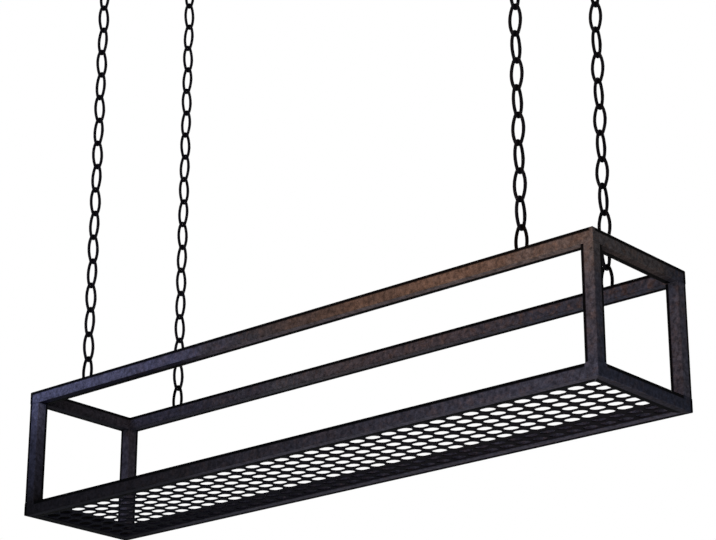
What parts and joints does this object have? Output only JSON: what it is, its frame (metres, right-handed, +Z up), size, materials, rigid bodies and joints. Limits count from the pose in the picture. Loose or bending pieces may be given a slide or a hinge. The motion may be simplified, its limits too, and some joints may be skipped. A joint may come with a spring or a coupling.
{
  "type": "hanging pot rack",
  "caption": "Long open box frame of welded square tube with a floor of perforated sheet, hung level on oval-link chains from ceiling hooks.",
  "frame": {"origin": "in the plane of the ceiling, above the middle of the rack", "axes": "+X along the rack to its right end as seen from the near side, +Y across it to the far side, +Z up"},
  "size_m": [1.35, 0.2738, 1.248],
  "materials": {
    "frame_paint": "satin, slightly mottled",
    "floor_paint": "satin, slightly mottled",
    "chain_black": "satin",
    "fitting_black": "satin"
  },
  "bodies": {
    "ceiling_fittings": {"near_left_ceiling_plate": "fitting_black", "near_left_ceiling_hook": "fitting_black", "near_right_ceiling_plate": "fitting_black", "near_right_ceiling_hook": "fitting_black", "far_left_ceiling_plate": "fitting_black", "far_left_ceiling_hook": "fitting_black", "far_right_ceiling_plate": "fitting_black", "far_right_ceiling_hook": "fitting_black"},
    "near_left_top_link": {"near_left_link_01": "chain_black"},
    "near_left_chain": {"near_left_link_02": "chain_black", "near_left_link_03": "chain_black", "near_left_run": "chain_black", "near_left_link_16": "chain_black", "near_left_link_17": "chain_black"},
    "near_left_bottom_link": {"near_left_link_18": "chain_black"},
    "near_right_top_link": {"near_right_link_01": "chain_black"},
    "near_right_chain": {"near_right_link_02": "chain_black", "near_right_link_03": "chain_black", "near_right_run": "chain_black", "near_right_link_16": "chain_black", "near_right_link_17": "chain_black"},
    "near_right_bottom_link": {"near_right_link_18": "chain_black"},
    "far_left_top_link": {"far_left_link_01": "chain_black"},
    "far_left_chain": {"far_left_link_02": "chain_black", "far_left_link_03": "chain_black", "far_left_run": "chain_black", "far_left_link_16": "chain_black", "far_left_link_17": "chain_black"},
    "far_left_bottom_link": {"far_left_link_18": "chain_black"},
    "far_right_top_link": {"far_right_link_01": "chain_black"},
    "far_right_chain": {"far_right_link_02": "chain_black", "far_right_link_03": "chain_black", "far_right_run": "chain_black", "far_right_link_16": "chain_black", "far_right_link_17": "chain_black"},
    "far_right_bottom_link": {"far_right_link_18": "chain_black"},
    "rack": {"bottom_rail_near": "frame_paint", "bottom_rail_right": "frame_paint", "bottom_rail_far": "frame_paint", "bottom_rail_left": "frame_paint", "top_rail_near": "frame_paint", "top_rail_right": "frame_paint", "top_rail_far": "frame_paint", "top_rail_left": "frame_paint", "post_near_left": "frame_paint", "post_near_right": "frame_paint", "post_far_left": "frame_paint", "post_far_right": "frame_paint", "floor_sheet": "floor_paint", "near_left_eye": "frame_paint", "near_right_eye": "frame_paint", "far_left_eye": "frame_paint", "far_right_eye": "frame_paint"}
  },
  "joints": [
    {"name": "near_left_hook_turn", "type": "hinge", "parent": "ceiling_fittings", "child": "near_left_top_link", "pos_m": [-0.525, -0.1225, -0.04315], "axis": [0, 1, 0], "range_deg": [-15, 15]},
    {"name": "near_left_chain_turn", "type": "hinge", "parent": "near_left_top_link", "child": "near_left_chain", "pos_m": [-0.525, -0.1225, -0.09415], "axis": [1, 0, 0], "range_deg": [-15, 15]},
    {"name": "near_left_bottom_link_turn", "type": "hinge", "parent": "near_left_chain", "child": "near_left_bottom_link", "pos_m": [-0.525, -0.1225, -0.91015], "axis": [1, 0, 0], "range_deg": [-15, 15]},
    {"name": "rack_turn", "type": "hinge", "parent": "near_left_bottom_link", "child": "rack", "pos_m": [-0.525, -0.1225, -0.96115], "axis": [0, 1, 0], "range_deg": [-15, 15]},
    {"name": "near_right_hook_turn", "type": "hinge", "parent": "ceiling_fittings", "child": "near_right_top_link", "pos_m": [0.525, -0.1225, -0.04315], "axis": [0, 1, 0], "range_deg": [-15, 15]},
    {"name": "near_right_chain_turn", "type": "hinge", "parent": "near_right_top_link", "child": "near_right_chain", "pos_m": [0.525, -0.1225, -0.09415], "axis": [1, 0, 0], "range_deg": [-15, 15]},
    {"name": "near_right_bottom_link_turn", "type": "hinge", "parent": "near_right_chain", "child": "near_right_bottom_link", "pos_m": [0.525, -0.1225, -0.91015], "axis": [1, 0, 0], "range_deg": [-15, 15]},
    {"name": "far_left_hook_turn", "type": "hinge", "parent": "ceiling_fittings", "child": "far_left_top_link", "pos_m": [-0.525, 0.1225, -0.04315], "axis": [0, 1, 0], "range_deg": [-15, 15]},
    {"name": "far_left_chain_turn", "type": "hinge", "parent": "far_left_top_link", "child": "far_left_chain", "pos_m": [-0.525, 0.1225, -0.09415], "axis": [1, 0, 0], "range_deg": [-15, 15]},
    {"name": "far_left_bottom_link_turn", "type": "hinge", "parent": "far_left_chain", "child": "far_left_bottom_link", "pos_m": [-0.525, 0.1225, -0.91015], "axis": [1, 0, 0], "range_deg": [-15, 15]},
    {"name": "far_right_hook_turn", "type": "hinge", "parent": "ceiling_fittings", "child": "far_right_top_link", "pos_m": [0.525, 0.1225, -0.04315], "axis": [0, 1, 0], "range_deg": [-15, 15]},
    {"name": "far_right_chain_turn", "type": "hinge", "parent": "far_right_top_link", "child": "far_right_chain", "pos_m": [0.525, 0.1225, -0.09415], "axis": [1, 0, 0], "range_deg": [-15, 15]},
    {"name": "far_right_bottom_link_turn", "type": "hinge", "parent": "far_right_chain", "child": "far_right_bottom_link", "pos_m": [0.525, 0.1225, -0.91015], "axis": [1, 0, 0], "range_deg": [-15, 15]}
  ],
  "couplings": [
    {"joint": "near_left_bottom_link_turn", "follows": "near_left_chain_turn", "ratio": -1},
    {"joint": "rack_turn", "follows": "near_left_hook_turn", "ratio": -1},
    {"joint": "near_right_hook_turn", "follows": "near_left_hook_turn", "ratio": 1},
    {"joint": "near_right_chain_turn", "follows": "near_left_chain_turn", "ratio": 1},
    {"joint": "near_right_bottom_link_turn", "follows": "near_left_chain_turn", "ratio": -1},
    {"joint": "far_left_hook_turn", "follows": "near_left_hook_turn", "ratio": 1},
    {"joint": "far_left_chain_turn", "follows": "near_left_chain_turn", "ratio": 1},
    {"joint": "far_left_bottom_link_turn", "follows": "near_left_chain_turn", "ratio": -1},
    {"joint": "far_right_hook_turn", "follows": "near_left_hook_turn", "ratio": 1},
    {"joint": "far_right_chain_turn", "follows": "near_left_chain_turn", "ratio": 1},
    {"joint": "far_right_bottom_link_turn", "follows": "near_left_chain_turn", "ratio": -1}
  ]
}
